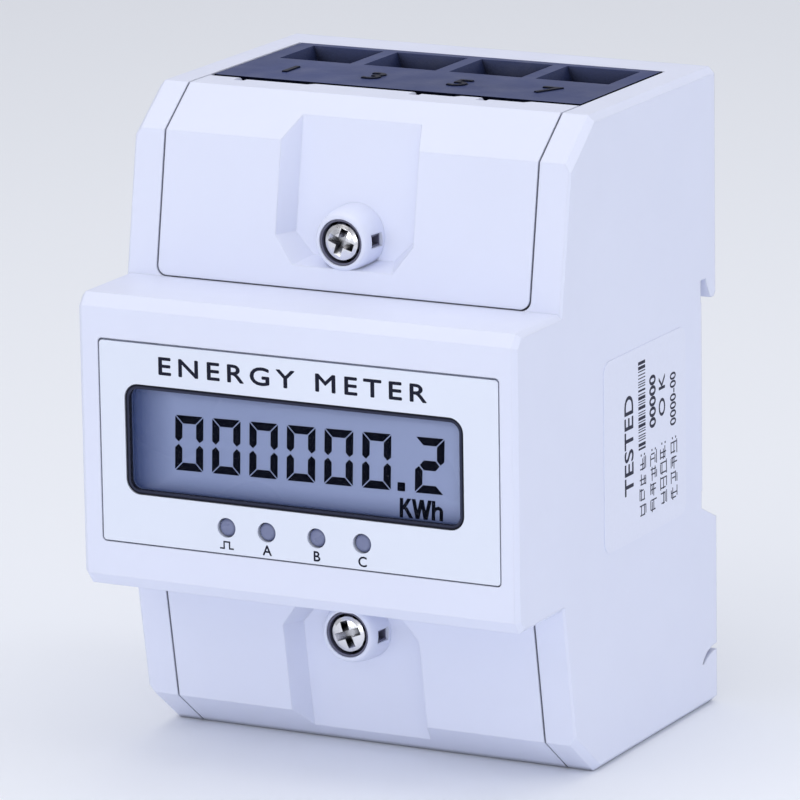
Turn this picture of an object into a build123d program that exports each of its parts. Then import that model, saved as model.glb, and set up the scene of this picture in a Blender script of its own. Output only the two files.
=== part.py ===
from build123d import *
import math
import os

os.makedirs("parts", exist_ok=True)

# ---------------------------------------------------------------------------
# DIN-rail energy meter, three-phase four-wire, four modules wide.
# Millimetres. +X to the right, -Y to the front, +Z up.
# Origin: centre of the face that rests on the top-hat rail.
# ---------------------------------------------------------------------------

# overall envelope
W = 72.0                    # width over the housing
XH = W / 2
Y_NOSE = -62.6              # front face of the nose
Z_NOSE = 22.14              # half height of the nose
Z_FACE = 20.3               # half height of the flat front, inside the bevel
Y_BEVEL = -61.1
Y_SLOPE = -47.7             # foot of the sloped cover, at the nose
Y_KINK, Z_KINK = -44.06, 43.55
Y_SHOULDER, Z_TOP = -36.5, 49.4
Y_REAR = 5.0                # rear face, behind the rail seat

# rail slot
RAIL_UP = 17.6              # upper end of the slot floor
RAIL_DOWN = -17.7           # lower end of the slot floor
LIP_Z = 14.3                # underside of the fixed upper lip
LIP_Y = 3.4                 # tip of the fixed upper lip; its inner face slopes towards the seat
LIP_ROOT_Y = 1.5
SLOT_DOWN = -20.1           # lower end of the slot at the rear face
SEAT_UP, SEAT_DOWN = 14.2, -15.0    # part of the slot floor that touches the rail
GROOVE_Y = -0.25            # floor of the slot above and below the seat, under the hooks

# walls
T_SIDE = 2.2
T_WALL = 2.0
X_CAV = XH - T_SIDE         # 33.8
X_OPEN = 31.0               # half width of the cover openings
X_COVER = 30.7              # half width of the covers

# terminal cells
CELLS = [-21.6, -7.2, 7.2, 21.6]
Z_SCREW = 38.0
BLOCK_X = 30.5
BLOCK_Y0, BLOCK_Y1 = -29.5, -1.7
BLOCK_Z0 = 24.0
MOUTH_X, MOUTH_Y = 12.1, 11.0
MOUTH_YC = -8.7
MOUTH_DEPTH, MOUTH_TAPER = 2.0, 38.0
THROAT_X = MOUTH_X - 2 * MOUTH_DEPTH * math.tan(math.radians(MOUTH_TAPER))      # 9.0
THROAT_Y = MOUTH_Y - 2 * MOUTH_DEPTH * math.tan(math.radians(MOUTH_TAPER))      # 7.9

# cover hinge and sealing screw
HY, HZ, HR = -30.75, 48.2, 1.2
PIN_R, PIN_HOLE_R = 0.70, 0.75
Z_BOSS = 29.7
SEAL_HOLE = (-46.2, -43.5, -0.75, 1.2)     # y range, and z range about the screw axis
BOSS_R = 4.95
BOSS_Y = -47.5
WELL_R = 3.5
WELL_END = -40.85           # floor of the screw well

# faceplate and display
FP = (-32.4, 33.1, -14.9, 15.4)
WIN = (-28.25, 27.35, -7.4, 9.15)
LEDS = [-11.65, -4.98, 3.26, 10.75]
Z_LED = -11.0


def block(x0, x1, y0, y1, z0, z1, mode=Mode.ADD):
    """Block between two corners, combined with the part being built."""
    with Locations(((x0 + x1) / 2, (y0 + y1) / 2, (z0 + z1) / 2)):
        Box(x1 - x0, y1 - y0, z1 - z0, mode=mode)


def along_y(x, z, y0, y1, r, mode=Mode.ADD, r_in=0.0):
    """Round bar or hole whose axis runs front to back."""
    with BuildSketch(Plane(origin=(x, y0, z), x_dir=(1, 0, 0), z_dir=(0, 1, 0))) as sk:
        Circle(r)
        if r_in > 0:
            Circle(r_in, mode=Mode.SUBTRACT)
    extrude(sk.sketch, amount=y1 - y0, mode=mode)


def along_x(y, z, x0, x1, r, mode=Mode.ADD):
    """Round bar or hole whose axis runs across the width."""
    with BuildSketch(Plane.YZ.offset(x0)) as sk:
        with Locations((y, z)):
            Circle(r)
    extrude(sk.sketch, amount=x1 - x0, mode=mode)


def along_z(x, y, z0, z1, r, mode=Mode.ADD, r_in=0.0):
    """Round bar or hole whose axis runs upwards."""
    with BuildSketch(Plane.XY.offset(z0)) as sk:
        with Locations((x, y)):
            Circle(r)
            if r_in > 0:
                Circle(r_in, mode=Mode.SUBTRACT)
    extrude(sk.sketch, amount=z1 - z0, mode=mode)


def profile(points, x0, x1, mode=Mode.ADD):
    """Side profile given as (y, z) points, extruded across the width."""
    with BuildSketch(Plane.YZ.offset(x0)) as sk:
        Polygon(*points, align=None)
    extrude(sk.sketch, amount=x1 - x0, mode=mode)


def plate(x0, x1, z0, z1, y0, y1, r, mode=Mode.ADD):
    """Front-facing rounded rectangle between two depths."""
    with BuildSketch(Plane(origin=((x0 + x1) / 2, y0, (z0 + z1) / 2),
                           x_dir=(1, 0, 0), z_dir=(0, 1, 0))) as sk:
        RectangleRounded(x1 - x0, z1 - z0, r)
    extrude(sk.sketch, amount=y1 - y0, mode=mode)


def save(builder, name):
    builder.part.label = name
    export_step(builder.part, f"parts/{name}.step")


# ---------------------------------------------------------------------------
# Terminal cover, upper one. The lower one is its mirror image.
# ---------------------------------------------------------------------------
Z_EDGE = Z_NOSE + 0.2
SLOPE_DY = (Y_KINK - Y_SLOPE) / (Z_KINK - Z_NOSE)
S_LEN = math.hypot(Y_KINK - Y_SLOPE, Z_KINK - Z_NOSE)
S_Y, S_Z = (Y_KINK - Y_SLOPE) / S_LEN, (Z_KINK - Z_NOSE) / S_LEN
POCKET_DEPTH = 3.5

slope_plane = Plane(origin=(0, Y_SLOPE, Z_NOSE), x_dir=(1, 0, 0), z_dir=(0, -S_Z, S_Y))


def pocket_outline(grow, inset):
    """Outline of the sealing pocket, in the plane of the slope."""
    return [(-8.3 + inset - grow, 3.5 + inset - grow), (8.3 - inset + grow, 3.5 + inset - grow),
            (11.4 - inset + grow, 7.7 + inset * 0.4 - grow * 0.4), (11.4 - inset + grow, 34.0),
            (-11.4 + inset - grow, 34.0), (-11.4 + inset - grow, 7.7 + inset * 0.4 - grow * 0.4)]


# the hollow behind the cover's skin, with the pocket's back left standing
with BuildPart() as pocket_back:
    with BuildSketch(slope_plane.offset(4.0)):
        Polygon(*pocket_outline(1.7, 0), align=None)
    with BuildSketch(slope_plane.offset(-POCKET_DEPTH - 1.7)):
        Polygon(*pocket_outline(1.7, 1.6), align=None)
    loft()

with BuildPart() as pocket_cut:
    with BuildSketch(slope_plane.offset(0.4)):
        Polygon(*pocket_outline(0.0, -0.18), align=None)
    with BuildSketch(slope_plane.offset(-POCKET_DEPTH)):
        Polygon(*pocket_outline(0, 1.6), align=None)
    loft()

cover_outer = [(Y_SLOPE + 0.2 * SLOPE_DY, Z_EDGE), (Y_KINK, Z_KINK), (Y_SHOULDER, Z_TOP),
               (BLOCK_Y0 - 0.05, Z_TOP), (BLOCK_Y0 - 0.05, Z_TOP - 2.2), (-31.6, Z_TOP - 2.2),
               (-31.6, Z_EDGE)]
cover_inner = [(Y_SLOPE + 1.8, Z_EDGE + 1.8), (Y_KINK + 1.95, Z_KINK - 0.7), (Y_SHOULDER + 0.6, Z_TOP - 1.9),
               (-31.0, Z_TOP - 1.9), (-31.0, Z_TOP - 2.3), (-30.0, Z_TOP - 2.3), (-30.0, Z_EDGE + 1.8)]

with BuildPart() as cover_hollow:
    profile(cover_inner, -X_COVER + 1.8, X_COVER - 1.8)
    add(pocket_back.part, mode=Mode.SUBTRACT)
    along_y(0, Z_BOSS, -50, -29, BOSS_R, mode=Mode.SUBTRACT)

# corner removed from the rear edge, so that the tabs turn about the hinge axis
with BuildPart() as tab_corner:
    block(-40, 40, HY, HY + 3, HZ, HZ + 3)
    along_x(HY, HZ, -40, 40, HR, mode=Mode.SUBTRACT)

# boss around the sealing screw, with a rounded rim
with BuildPart() as boss:
    with BuildSketch(Plane.XY.offset(Z_BOSS)):
        Polygon((0, BOSS_Y), (3.74, BOSS_Y), (4.02, -47.40), (4.26, -47.12), (4.46, -46.65), (4.60, -46.0),
                (4.78, -44.8), (4.90, -43.3), (BOSS_R, -41.5), (BOSS_R, -30.2), (0, -30.2), align=None)
    revolve(axis=Axis((0, 0, Z_BOSS), (0, 1, 0)))

with BuildPart() as cover:
    profile(cover_outer, -X_COVER, X_COVER)
    fillet(cover.edges().filter_by(Axis.Y).group_by(Axis.Z)[0], 1.5)
    add(tab_corner.part, mode=Mode.SUBTRACT)
    add(cover_hollow.part, mode=Mode.SUBTRACT)
    # recesses between the tabs of the rear edge, each with a sloped right end
    for xa, xb in ((-24.0, -12.2), (5.3, 12.2), (16.4, 23.6)):
        with BuildSketch(Plane.XY.offset(Z_TOP - 2.4)):
            Polygon((xa, -28), (xa, -31.5), (xb - 1.4, -31.5), (xb + 0.9, -29.2), (xb + 0.9, -28), align=None)
        extrude(amount=4, mode=Mode.SUBTRACT)
    # small wedge pits at the right end of the tabs
    for xp in (-24.9, 4.4, 15.5):
        block(xp - 0.7, xp + 1.05, -32.4, -28, Z_TOP - 1.5, Z_TOP + 1, mode=Mode.SUBTRACT)
    # the end of the rear edge is cut back outside the outer tabs
    block(-31, -30.3, -30.9, -28, Z_TOP - 5, Z_TOP + 1, mode=Mode.SUBTRACT)
    block(29.3, 31, -30.9, -28, Z_TOP - 5, Z_TOP + 1, mode=Mode.SUBTRACT)
    # sealing pocket, open through the shoulder
    add(pocket_cut.part, mode=Mode.SUBTRACT)
    # sealing boss with a screw well and a seal-wire hole through its sides
    add(boss.part)
    along_y(0, Z_BOSS, BOSS_Y - 1, WELL_END, WELL_R, mode=Mode.SUBTRACT)
    along_y(0, Z_BOSS, WELL_END - 1, -29, 1.75, mode=Mode.SUBTRACT)
    block(-7, 7, SEAL_HOLE[0], SEAL_HOLE[1], Z_BOSS + SEAL_HOLE[2], Z_BOSS + SEAL_HOLE[3], mode=Mode.SUBTRACT)
    # hinge pins in the ends of the rear edge
    for s in (-1, 1):
        x0, x1 = sorted((s * 29.6, s * 32.4))
        along_x(HY, HZ, min(s * 29.0, s * X_COVER), max(s * 29.0, s * X_COVER), HR)
        along_x(HY, HZ, x0, x1, PIN_R)

with BuildPart() as upper_terminal_cover:
    add(cover.part)
save(upper_terminal_cover, "upper_terminal_cover")

with BuildPart() as lower_terminal_cover:
    add(mirror(cover.part, about=Plane.XY, mode=Mode.PRIVATE))
save(lower_terminal_cover, "lower_terminal_cover")

# ---------------------------------------------------------------------------
# Main housing: one shell, open at the back
# ---------------------------------------------------------------------------
upper_half = [(Y_NOSE, Z_FACE), (Y_BEVEL, Z_NOSE), (Y_SLOPE, Z_NOSE), (Y_KINK, Z_KINK), (Y_SHOULDER, Z_TOP),
              (Y_REAR, Z_TOP), (Y_REAR, LIP_Z + 0.7), (Y_REAR - 0.5, LIP_Z), (LIP_Y, LIP_Z),
              (LIP_ROOT_Y + 0.5, RAIL_UP - 1.2), (LIP_ROOT_Y, RAIL_UP), (GROOVE_Y, RAIL_UP),
              (GROOVE_Y, SEAT_UP), (0, SEAT_UP)]
lower_half = [(0, SEAT_DOWN), (GROOVE_Y, SEAT_DOWN), (GROOVE_Y, RAIL_DOWN), (Y_REAR, SLOT_DOWN), (Y_REAR, -Z_TOP), (Y_SHOULDER, -Z_TOP), (Y_KINK, -Z_KINK),
              (Y_SLOPE, -Z_NOSE), (Y_BEVEL, -Z_NOSE), (Y_NOSE, -Z_FACE)]
outer = upper_half + lower_half

with BuildPart() as opening:
    # room for one cover and one terminal block
    with BuildSketch(Plane(origin=(0, -55, 0), x_dir=(1, 0, 0), z_dir=(0, 1, 0))):
        with Locations((0, -42.14)):
            Rectangle(2 * X_OPEN, 40)
    extrude(amount=53.4)
    fillet(opening.edges().filter_by(Axis.Y).group_by(Axis.Z)[0], 1.6)

with BuildPart() as main_housing:
    profile(outer, -XH, XH)
    # broken edges along the sides
    side_edges = main_housing.edges().filter_by(lambda e: abs(abs(e.center().X) - XH) < 0.01 and
                                                abs((e @ 0).X - (e @ 1).X) < 0.01)
    big = side_edges.filter_by(lambda e: (abs(e.center().Z) > Z_KINK + 0.5 and e.center().Y < Y_REAR - 0.1))
    chamfer(big, 1.0)
    side_edges = main_housing.edges().filter_by(lambda e: abs(abs(e.center().X) - XH) < 0.01 and
                                                abs((e @ 0).X - (e @ 1).X) < 0.01)
    nose = side_edges.filter_by(lambda e: e.center().Y < Y_SLOPE - 0.5)
    chamfer(nose, 0.7)
    side_edges = main_housing.edges().filter_by(lambda e: abs(abs(e.center().X) - XH) < 0.01 and
                                                abs((e @ 0).X - (e @ 1).X) < 0.01)
    slope = side_edges.filter_by(lambda e: Z_NOSE + 1 < abs(e.center().Z) < Z_KINK - 1 and e.center().Y < -44)
    chamfer(slope, 0.35)
    # inner space of the nose and the board compartment
    block(-X_CAV, X_CAV, Y_NOSE + 1.8, Y_REAR + 1, -20.1, 20.1, mode=Mode.SUBTRACT)
    # terminal compartments
    for s in (-1, 1):
        pts = [(Y_SLOPE + 1.0, 22.14), (-46.0, 24.0), (Y_KINK + 2.0, Z_KINK - 0.7),
               (Y_SHOULDER + 0.7, Z_TOP - T_WALL), (Y_REAR + 1, Z_TOP - T_WALL), (Y_REAR + 1, 22.14)]
        profile([(y, s * z) for y, z in pts], -X_CAV, X_CAV, mode=Mode.SUBTRACT)
    # rear part of the partitions is open for the busbars
    block(-X_CAV, X_CAV, -16.0, Y_REAR + 1, -30, 30, mode=Mode.SUBTRACT)
    # openings for covers and blocks
    add(opening.part, mode=Mode.SUBTRACT)
    add(mirror(opening.part, about=Plane.XY, mode=Mode.PRIVATE), mode=Mode.SUBTRACT)
    # bearings of the cover hinges
    for s in (-1, 1):
        for t in (-1, 1):
            x0, x1 = sorted((s * X_OPEN, s * (X_CAV + 0.1)))
            z0, z1 = sorted((t * (Z_TOP - 4.2), t * (Z_TOP - 0.6)))
            block(x0, x1, HY - 2.4, HY + 2.4, z0, z1)
            xa, xb = sorted((s * (X_OPEN - 1), s * 32.5))
            along_x(HY, t * HZ, xa, xb, PIN_HOLE_R, mode=Mode.SUBTRACT)
    # recess for the faceplate, window and lamp holes
    plate(FP[0] - 0.24, FP[1] + 0.2, FP[2] - 0.22, FP[3] + 0.32, Y_NOSE - 1, Y_NOSE + 0.9, 0.7,
          mode=Mode.SUBTRACT)
    plate(WIN[0] + 0.35, WIN[1] - 0.35, WIN[2] + 0.35, WIN[3] - 0.35, Y_NOSE - 1, Y_NOSE + 3, 1.85,
          mode=Mode.SUBTRACT)
    for x in LEDS:
        along_y(x, Z_LED, Y_NOSE - 1, Y_NOSE + 3, 1.5, mode=Mode.SUBTRACT)
    # slides that hold the terminal blocks from the front
    for t in (-1, 1):
        z0, z1 = sorted((t * 22.14, t * 23.9))
        for x0, x1 in ((-28, -20), (20, 28)):
            block(x0, x1, -29.5, -27.5, z0, z1)
    # posts for the main board
    for x in (-30.5, 30.5):
        for z in (-16.5, 16.5):
            x0, x1 = sorted((x, math.copysign(X_CAV + 0.1, x)))
            block(x0, x1, -40.5, -31.05, z - 2.2, z + 2.2)
            along_y(x, z, -40.5, -31.05, 2.2)
            along_y(x, z, -37.5, -31.0, 0.95, mode=Mode.SUBTRACT)
            block(x0, x1, Y_NOSE + 1.7, -54.65, z - 2.2, z + 2.2)
            along_y(x, z, Y_NOSE + 1.7, -54.65, 2.2)
            along_y(x, z, -58.6, -54.6, 0.95, mode=Mode.SUBTRACT)
    # the latch leaves through the bottom wall
    block(-10.8, 10.8, 1.6, Y_REAR + 1, -Z_TOP - 1, -46.0, mode=Mode.SUBTRACT)
    # short curved grooves at the rear edge of both sides
    for x0, x1 in ((-XH - 1, -XH + 1.3), (XH - 1.3, XH + 1)):
        profile([(Y_REAR + 1, -40.0), (3.2, -40.2), (1.6, -40.7), (0.5, -41.5), (-0.2, -42.3), (0.5, -42.4),
                 (1.3, -41.9), (2.4, -41.4), (3.6, -41.1), (Y_REAR + 1, -41.0)], x0, x1, mode=Mode.SUBTRACT)
save(main_housing, "main_housing")

# ---------------------------------------------------------------------------
# Rear base: closes the shell, carries the rail seat, hooks and latch guide
# ---------------------------------------------------------------------------
XB = X_CAV - 0.15
ZB = Z_TOP - T_WALL - 0.15
base_pts = [(Y_REAR, ZB), (Y_REAR, LIP_Z + 0.7), (Y_REAR - 0.5, LIP_Z), (LIP_Y, LIP_Z),
            (LIP_ROOT_Y + 0.5, RAIL_UP - 1.2), (LIP_ROOT_Y, RAIL_UP), (GROOVE_Y, RAIL_UP), (GROOVE_Y, SEAT_UP),
            (0, SEAT_UP), (0, SEAT_DOWN), (GROOVE_Y, SEAT_DOWN), (GROOVE_Y, RAIL_DOWN), (Y_REAR, SLOT_DOWN), (Y_REAR, -ZB), (3.0, -ZB), (3.0, -21.3), (-2.0, -18.9), (-2.0, 19.6),
            (3.0, 19.6), (3.0, ZB)]
BASE_SCREWS = [(x, z) for x in (-14.4, 14.4) for z in (-28.5, 28.5)]

with BuildPart() as rear_base:
    profile(base_pts, -XB, XB)
    # hooks that grip the upper edge of the rail
    for x in (-22, 22):
        block(x - 5, x + 5, 1.3, LIP_Y + 0.1, 15.4, RAIL_UP + 0.1)
    # hollow channel behind the latch
    block(-12.6, 12.6, -0.4, 3.1, -ZB, -18.0)
    block(-10.6, 10.6, 1.8, 3.3, -50, -15, mode=Mode.SUBTRACT)
    block(-8.6, 8.6, 1.2, 6, -50, -16.9, mode=Mode.SUBTRACT)
    # fixed stop of the latch spring
    block(-1.9, 1.9, 0.5, 4.3, -42.0, -40.0)
    # standoffs and holes for the fixing screws
    for x, z in BASE_SCREWS:
        along_y(x, z, BLOCK_Y1 + 0.05, 3.1, 3.0)
        along_y(x, z, -3, 6, 1.6, mode=Mode.SUBTRACT)
        along_y(x, z, 3.0, 6, 2.9, mode=Mode.SUBTRACT)
save(rear_base, "rear_base")

# ---------------------------------------------------------------------------
# Rail latch and its spring
# ---------------------------------------------------------------------------
with BuildPart() as din_latch:
    block(-8.5, 8.5, 1.9, 4.9, -Z_TOP, -17.75)
    block(-10.5, 10.5, 1.9, 3.2, -Z_TOP, -21.6)
    # hook behind the lower edge of the rail
    profile([(1.3, -18.5), (1.3, -15.6), (1.8, -15.2), (3.2, -15.2), (4.9, -17.2), (4.9, -18.5)], -8.5, 8.5)
    # window for the spring
    block(-2.2, 2.2, 1, 6, -46.0, -26.0, mode=Mode.SUBTRACT)
    # slot for a screwdriver blade at the foot
    block(-3.2, 3.2, 2.9, 3.9, -Z_TOP - 1, -47.2, mode=Mode.SUBTRACT)
save(din_latch, "din_latch")

with BuildPart() as latch_spring:
    with BuildLine() as coil:
        Helix(pitch=1.9, height=13.3, radius=1.15, center=(0, 3.4, -39.65))
    with BuildSketch(Plane(origin=coil.line @ 0, z_dir=coil.line % 0)):
        Circle(0.25)
    sweep(path=coil.line, is_frenet=True)
save(latch_spring, "latch_spring")

# ---------------------------------------------------------------------------
# Terminal block with four cells. The lower one is its mirror image.
# ---------------------------------------------------------------------------
with BuildPart() as tblock:
    block(-BLOCK_X, BLOCK_X, BLOCK_Y0, BLOCK_Y1, BLOCK_Z0, Z_TOP)
    for x in CELLS:
        # wire entry: a shallow funnel, then a straight hole down to the clamp
        with BuildSketch(Plane.XY.offset(Z_TOP)):
            with Locations((x, MOUTH_YC)):
                Rectangle(MOUTH_X, MOUTH_Y)
        extrude(amount=-MOUTH_DEPTH, taper=MOUTH_TAPER, mode=Mode.SUBTRACT)
        block(x - THROAT_X / 2, x + THROAT_X / 2, MOUTH_YC - THROAT_Y / 2, MOUTH_YC + THROAT_Y / 2, 43.2,
              Z_TOP - MOUTH_DEPTH + 0.1, mode=Mode.SUBTRACT)
        # space of the cage clamp
        block(x - 6.2, x + 6.2, -22.95, -2.7, 33.2, 43.3, mode=Mode.SUBTRACT)
        # access for the screwdriver, and the web that holds the screw
        along_y(x, Z_SCREW, BLOCK_Y0 - 1, -24.0, 4.0, mode=Mode.SUBTRACT)
        along_y(x, Z_SCREW, -25, -20, 2.5, mode=Mode.SUBTRACT)
        # slot of the busbar
        block(x - 4.6, x + 4.6, -14.35, -12.25, BLOCK_Z0 - 1, 34, mode=Mode.SUBTRACT)
    # seat of the threaded insert
    along_y(0, Z_BOSS, BLOCK_Y0 - 1, -20.8, 2.8, mode=Mode.SUBTRACT)
    # tapped holes for the screws of the rear base
    for x in (-14.4, 14.4):
        along_y(x, 28.5, -12.2, 0, 1.2, mode=Mode.SUBTRACT)

with BuildPart() as upper_terminal_block:
    add(tblock.part)
save(upper_terminal_block, "upper_terminal_block")

with BuildPart() as lower_terminal_block:
    add(mirror(tblock.part, about=Plane.XY, mode=Mode.PRIVATE))
save(lower_terminal_block, "lower_terminal_block")

with BuildPart() as screw_inserts:
    for t in (-1, 1):
        along_y(0, t * Z_BOSS, BLOCK_Y0 + 0.1, -20.9, 2.78)
        along_y(0, t * Z_BOSS, BLOCK_Y0 - 1, -24.6, 2.2, mode=Mode.SUBTRACT)
        along_y(0, t * Z_BOSS, -26, -20, 1.5, mode=Mode.SUBTRACT)
save(screw_inserts, "screw_inserts")

# ---------------------------------------------------------------------------
# Terminal screws and rising cage clamps, numbered 1 to 8:
# odd numbers at the top, even numbers at the bottom
# ---------------------------------------------------------------------------
for i, x in enumerate(CELLS):
    for t, number in ((1, 2 * i + 1), (-1, 2 * i + 2)):
        z = t * Z_SCREW
        with BuildPart() as terminal_screw:
            along_y(x, z, -27.2, -24.02, 3.5)
            chamfer(terminal_screw.edges().filter_by(GeomType.CIRCLE).group_by(Axis.Y)[0], 0.4)
            along_y(x, z, -24.1, -14.45, 2.45)
            # combined cross and slot drive
            block(x - 2.6, x + 2.6, -28, -25.6, z - 0.5, z + 0.5, mode=Mode.SUBTRACT)
            block(x - 0.5, x + 0.5, -28, -25.6, z - 2.0, z + 2.0, mode=Mode.SUBTRACT)
        save(terminal_screw, f"terminal_screw_{number}")

        z0, z1 = sorted((t * 33.5, t * 43.0))
        with BuildPart() as terminal_clamp:
            block(x - 5.95, x + 5.95, -17.6, -3.0, z0, z1)
            block(x - 4.95, x + 4.95, -14.6, -4.4, z0 - 1, z1 + 1, mode=Mode.SUBTRACT)
            along_y(x, z, -19, -14, 2.5, mode=Mode.SUBTRACT)
            # gripping ribs across the jaw
            for k in (-2.4, 0, 2.4):
                block(x - 4.9, x + 4.9, -4.5, -4.05, z + k - 0.4, z + k + 0.4)
        save(terminal_clamp, f"terminal_clamp_{number}")

# ---------------------------------------------------------------------------
# Busbars, current transformers and their leads
# ---------------------------------------------------------------------------
BB_Y0, BB_Y1 = -14.3, -12.3


def busbar(x):
    block(x - 2.5, x + 2.5, BB_Y0, BB_Y1, -24.5, 24.5)
    for t in (-1, 1):
        z0, z1 = sorted((t * 21.0, t * 42.6))
        block(x - 4.5, x + 4.5, BB_Y0, BB_Y1, z0, z1)


with BuildPart() as phase_busbars:
    for x in CELLS[:3]:
        busbar(x)
save(phase_busbars, "phase_busbars")

with BuildPart() as neutral_busbar:
    busbar(CELLS[3])
save(neutral_busbar, "neutral_busbar")

CT_Z = [-12.5, 0.0, 12.5]
CT_Y = -13.3
with BuildPart() as current_transformers:
    for x, zc in zip(CELLS[:3], CT_Z):
        along_z(x, CT_Y, zc - 5.0, zc + 5.0, 9.8)
    fillet(current_transformers.edges().filter_by(GeomType.CIRCLE), 1.2)
    for x, zc in zip(CELLS[:3], CT_Z):
        block(x - 3.0, x + 3.0, -15.0, -11.6, zc - 6, zc + 6, mode=Mode.SUBTRACT)
save(current_transformers, "current_transformers")

with BuildPart() as ct_lead_wires:
    for x, zc in zip(CELLS[:3], CT_Z):
        for d in (-1.6, 1.6):
            with BuildLine() as lead:
                Bezier((x + d, CT_Y - 9.85, zc), (x + d, CT_Y - 13.0, zc), (x + d * 1.3, -26.5, zc - 2.0),
                       (x + d * 1.3, -29.3, zc - 2.0))
            with BuildSketch(Plane(origin=lead.line @ 0, z_dir=lead.line % 0)):
                Circle(0.55)
            sweep(path=lead.line)
save(ct_lead_wires, "ct_lead_wires")

# ---------------------------------------------------------------------------
# Boards
# ---------------------------------------------------------------------------
MB_Y0, MB_Y1 = -31.0, -29.4
DB_Y0, DB_Y1 = -54.6, -53.0

with BuildPart() as main_board:
    block(-32.9, 32.9, MB_Y0, MB_Y1, -19.6, 19.6)
    for x in (-30.5, 30.5):
        for z in (-16.5, 16.5):
            along_y(x, z, -32, -29, 1.3, mode=Mode.SUBTRACT)
save(main_board, "main_board")

with BuildPart() as display_board:
    block(-32.9, 32.9, DB_Y0, DB_Y1, -19.6, 19.6)
    for x in (-30.5, 30.5):
        for z in (-16.5, 16.5):
            along_y(x, z, -56, -52, 1.3, mode=Mode.SUBTRACT)
save(display_board, "display_board")

with BuildPart() as board_screws:
    for y in (MB_Y1, DB_Y1):
        for x in (-30.5, 30.5):
            for z in (-16.5, 16.5):
                along_y(x, z, y + 0.02, y + 1.4, 2.1)
                along_y(x, z, y - 4.6, y + 0.1, 0.9)
    for y in (MB_Y1, DB_Y1):
        for x in (-30.5, 30.5):
            for z in (-16.5, 16.5):
                block(x - 1.3, x + 1.3, y + 0.8, y + 2, z - 0.25, z + 0.25, mode=Mode.SUBTRACT)
                block(x - 0.25, x + 0.25, y + 0.8, y + 2, z - 1.3, z + 1.3, mode=Mode.SUBTRACT)
save(board_screws, "board_screws")

with BuildPart() as board_header:
    block(-12, 12, MB_Y0 - 8.5, MB_Y0, -18.2, -13.2)
    block(-12, 12, DB_Y1, DB_Y1 + 2.5, -18.2, -13.2)
    for k in range(9):
        for z in (-17.0, -14.4):
            block(-10.4 + 2.54 * k, -9.76 + 2.54 * k, DB_Y1 + 2.4, MB_Y0 - 8.4, z - 0.32, z + 0.32)
save(board_header, "board_header")

with BuildPart() as power_capacitors:
    for x in (13.5, 25.0):
        along_y(x, 9.5, MB_Y0 - 14.0, MB_Y0, 5.0)
    fillet(power_capacitors.edges().filter_by(GeomType.CIRCLE).group_by(Axis.Y)[0], 0.6)
save(power_capacitors, "power_capacitors")

with BuildPart() as mains_transformer:
    block(-27.5, -8.5, MB_Y0 - 16.5, MB_Y0 - 1.0, 2.0, 16.5)
    block(-25.5, -10.5, MB_Y0 - 18.0, MB_Y0, 4.5, 14.0)
save(mains_transformer, "mains_transformer")

with BuildPart() as varistors:
    for x in (-24.0, -16.0, -8.0):
        along_y(x, -6.0, MB_Y0 - 5.2, MB_Y0 - 1.0, 3.4)
        block(x - 2.0, x - 1.4, MB_Y0 - 1.2, MB_Y0, -6.3, -5.7)
        block(x + 1.4, x + 2.0, MB_Y0 - 1.2, MB_Y0, -6.3, -5.7)
save(varistors, "varistors")

with BuildPart() as metering_chip:
    block(1.0, 11.0, MB_Y0 - 1.9, MB_Y0 - 0.2, -9.0, 1.0)
    chamfer(metering_chip.edges().group_by(Axis.Y)[0], 0.2)
    for k in range(7):
        z = -8.0 + 1.3 * k
        block(0.0, 12.0, MB_Y0 - 0.8, MB_Y0, z - 0.2, z + 0.2)
save(metering_chip, "metering_chip")

with BuildPart() as microcontroller:
    block(-6.0, 6.0, DB_Y1 + 0.2, DB_Y1 + 1.7, -4.0, 8.0)
    chamfer(microcontroller.edges().group_by(Axis.Y)[-1], 0.2)
    for k in range(8):
        d = -5.0 + 1.4 * k
        block(-7.0, 7.0, DB_Y1, DB_Y1 + 0.7, 2.1 + d - 0.2, 2.1 + d + 0.2)
        block(d - 0.2, d + 0.2, DB_Y1, DB_Y1 + 0.7, -5.0, 9.0)
save(microcontroller, "microcontroller")

with BuildPart() as crystal:
    with BuildSketch(Plane(origin=(12.5, DB_Y1, 5.0), x_dir=(1, 0, 0), z_dir=(0, 1, 0))):
        SlotOverall(8.0, 3.6, rotation=90)
    extrude(amount=3.4)
save(crystal, "crystal")

with BuildPart() as optocoupler:
    block(18.5, 25.0, MB_Y0 - 3.4, MB_Y0 - 0.3, -9.5, -4.5)
    for z in (-8.3, -5.7):
        block(17.6, 25.9, MB_Y0 - 1.4, MB_Y0, z - 0.25, z + 0.25)
save(optocoupler, "optocoupler")

# ---------------------------------------------------------------------------
# Display, lamps and faceplate
# ---------------------------------------------------------------------------
CELL_Y0 = Y_NOSE + 1.2        # front of the liquid crystal cell
GLASS_Y0 = Y_NOSE + 2.2       # front of its wider rear plate
with BuildPart() as lcd_glass:
    # the front plate fills the lining, just behind the window
    plate(WIN[0] + 0.66, WIN[1] - 0.66, WIN[2] + 0.66, WIN[3] - 0.66, CELL_Y0, GLASS_Y0 + 0.1, 1.45)
    block(-28.0, 27.1, GLASS_Y0, GLASS_Y0 + 1.0, -7.3, 9.1)
    block(-28.0, 27.1, GLASS_Y0 + 1.0, GLASS_Y0 + 1.9, -5.6, 9.1)
save(lcd_glass, "lcd_glass")

with BuildPart() as lcd_backlight:
    block(-27.0, 26.1, GLASS_Y0 + 1.95, GLASS_Y0 + 4.4, -5.2, 7.2)
save(lcd_backlight, "lcd_backlight")

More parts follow.
